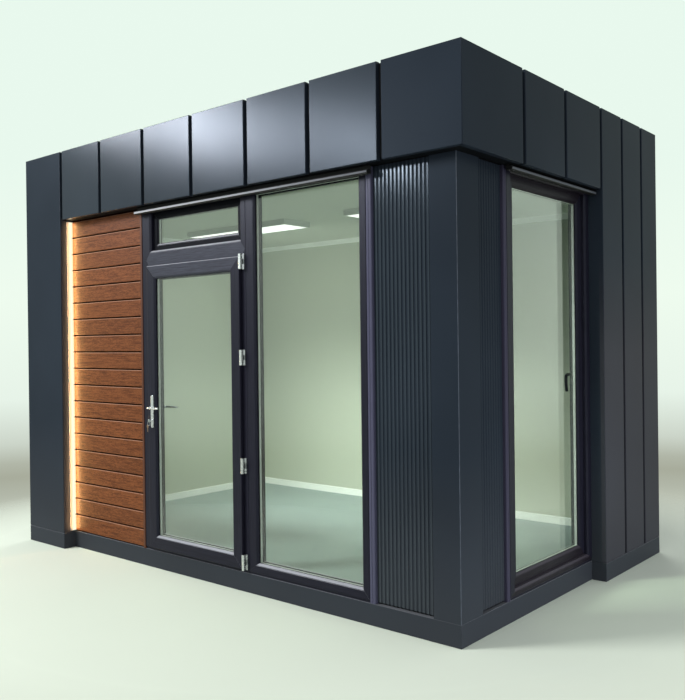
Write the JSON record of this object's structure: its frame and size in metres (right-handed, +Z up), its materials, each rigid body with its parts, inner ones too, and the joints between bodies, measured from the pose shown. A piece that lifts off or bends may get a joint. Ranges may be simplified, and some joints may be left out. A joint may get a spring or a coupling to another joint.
{
  "type": "garden office pod",
  "caption": "Flat-roofed garden office in folded metal cassettes, with a glazed entrance screen, a boarded bay lit down one edge and a window round the corner.",
  "frame": {"origin": "middle of the footprint, on the ground", "axes": "+X along the entrance side to the right, +Y towards the back, +Z up; the entrance faces -Y"},
  "size_m": [4.2, 2.7, 3.12],
  "materials": {
    "cladding": "satin anthracite folded sheet",
    "frame_foil": "anthracite foil with a fine grain",
    "frame_inside": "anthracite",
    "boards": "oiled warm brown",
    "board_trim": "brown",
    "glazing": "clear double glazing with a pale green tint",
    "light_line": "warm white light line",
    "lamp": "white diffuser",
    "bright_metal": "silver",
    "grey_metal": "grey",
    "handle_dark": "dark",
    "galvanised": "galvanised grey",
    "sheathing": "plywood",
    "wall_core": "dark breather membrane over the insulated panel",
    "roof_sheet": "dark roofing membrane",
    "room_white": "matt white with a hint of green",
    "trim_white": "white",
    "floor_grey": "blue grey"
  },
  "bodies": {
    "pod": {"base_rails": "galvanised", "base_joists": "galvanised", "floor_deck": "sheathing", "recessed_plinth": "cladding", "base_band": "cladding", "back_wall": "wall_core", "left_wall": "wall_core", "boarded_wall": "wall_core", "corner_pier_front": "wall_core", "corner_pier_side": "wall_core", "right_rear_wall": "wall_core", "left_column_core": "wall_core", "right_rear_core": "wall_core", "roof_deck": "wall_core", "roof_membrane": "roof_sheet", "parapet": "roof_sheet", "parapet_capping": "cladding", "soffit": "cladding", "left_column_panel": "cladding", "front_fascia_panels": "cladding", "right_fascia_panels": "cladding", "right_rear_panels": "cladding", "left_side_panels": "cladding", "back_panels": "cladding", "timber_panel": "boards", "board_end_trim": "board_trim", "led_profile": "light_line", "corner_trim": "cladding", "ribbed_panel_front": "cladding", "ribbed_panel_side": "cladding", "window_edge_trims": "frame_foil", "frame_sills": "frame_foil", "entrance_frame": "frame_foil", "front_window_glass": "glazing", "window_glazing_beads": "frame_inside", "fanlight_sash": "frame_foil", "fanlight_glass": "glazing", "side_window_frame": "frame_foil", "side_window_sash": "frame_foil", "side_window_glass": "glazing", "side_window_handle": "handle_dark", "front_drip_channel": "bright_metal", "side_drip_channel": "grey_metal", "frame_hinge_halves": "bright_metal", "wall_linings": "room_white", "reveal_linings": "room_white", "floor_covering": "floor_grey", "ceiling_lining": "room_white", "ceiling_trim": "trim_white", "skirting": "trim_white", "ceiling_lights": "lamp"},
    "door": {"door_leaf_frame": "frame_foil", "door_glass": "glazing", "door_glazing_beads": "frame_inside", "leaf_hinge_halves": "bright_metal", "handle_plates": "bright_metal"},
    "lever": {"door_lever": "bright_metal"}
  },
  "joints": [
    {"name": "door_hinge", "type": "hinge", "parent": "pod", "child": "door", "pos_m": [0.38595, -1.278, 1.1545], "axis": [0, 0, 1], "range_deg": [0, 95]},
    {"name": "lever_turn", "type": "hinge", "parent": "door", "child": "lever", "pos_m": [-0.53905, -1.2375, 1.15], "axis": [0, 1, 0], "range_deg": [0, 35], "stiffness_Nm_per_rad": 2, "springref_deg": -17.19}
  ]
}
